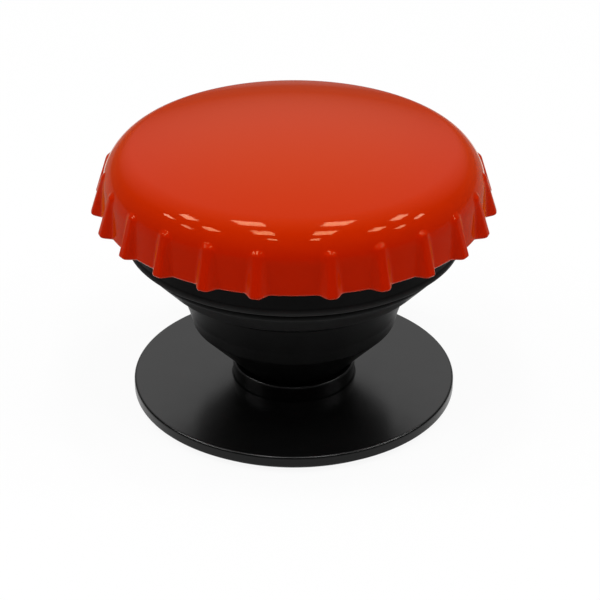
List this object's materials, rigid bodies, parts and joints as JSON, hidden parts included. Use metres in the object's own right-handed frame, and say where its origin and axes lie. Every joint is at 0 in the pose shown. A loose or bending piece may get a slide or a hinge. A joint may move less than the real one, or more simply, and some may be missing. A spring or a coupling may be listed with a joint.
{
  "type": "adhesive phone holder",
  "caption": "Collapsible stick-on phone holder: a fluted bottle-cap top on a folding rubber bellows that swivels in the collar of an adhesive base disc.",
  "frame": {"origin": "centre of the sticky face that goes on the phone, at the lowest plane of the part", "axes": "+Z points away from the phone, along the bellows' axis; -Y is the side that faces the picture's camera; the part is drawn popped up"},
  "size_m": [0.0486, 0.0482, 0.036],
  "materials": {
    "foam_tape": "black acrylic foam tape, tacky underside",
    "base_plastic": "black moulded polycarbonate, satin",
    "rivet_plastic": "black moulded acetal, satin",
    "bellows_rubber": "black moulded thermoplastic elastomer, soft satin",
    "plate_plastic": "black moulded polycarbonate, satin",
    "cap_plastic": "orange-red moulded ABS, high gloss"
  },
  "bodies": {
    "base": {"sticky_pad": "foam_tape", "base_disc": "base_plastic"},
    "foot": {"swivel_rivet": "rivet_plastic", "bellows": "bellows_rubber"},
    "cap": {"button_plate": "plate_plastic", "bottle_cap": "cap_plastic"}
  },
  "joints": [
    {"name": "swivel", "type": "hinge", "parent": "base", "child": "foot", "pos_m": [0, 0, 0.0022], "axis": [0, 0, 1], "continuous": true},
    {"name": "collapse", "type": "slide", "parent": "foot", "child": "cap", "axis": [0, 0, -1], "range_m": [0, 0.0185], "deforming": ["bellows"]}
  ]
}
